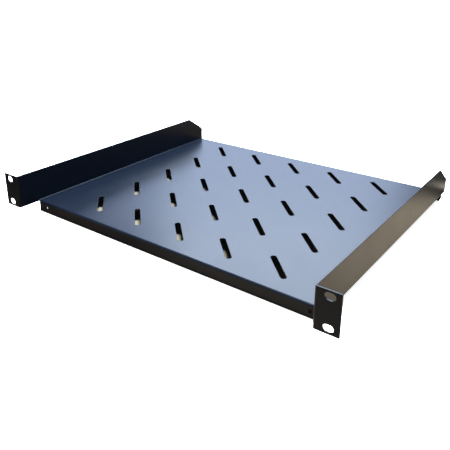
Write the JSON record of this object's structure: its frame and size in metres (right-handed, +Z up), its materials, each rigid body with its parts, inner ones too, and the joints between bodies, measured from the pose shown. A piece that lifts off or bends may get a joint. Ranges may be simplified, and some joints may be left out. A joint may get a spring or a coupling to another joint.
{
  "type": "cantilever rack shelf",
  "caption": "Shallow rack shelf folded from sheet steel: diagonally slotted deck between upturned side walls, outward ears with oblong screw slots, and flanges turned down front and rear.",
  "frame": {"origin": "centre of the four ear slots, on the plane where the backs of the ears seat on the rack's front posts", "axes": "+X to the right seen from the front, +Y back into the rack, +Z up"},
  "size_m": [0.4826, 0.39, 0.0571],
  "materials": {
    "powder_coated_steel": "satin black powder coat with a fine texture, on steel sheet"
  },
  "bodies": {
    "root": {"folded_shelf": "powder_coated_steel"}
  },
  "joints": []
}
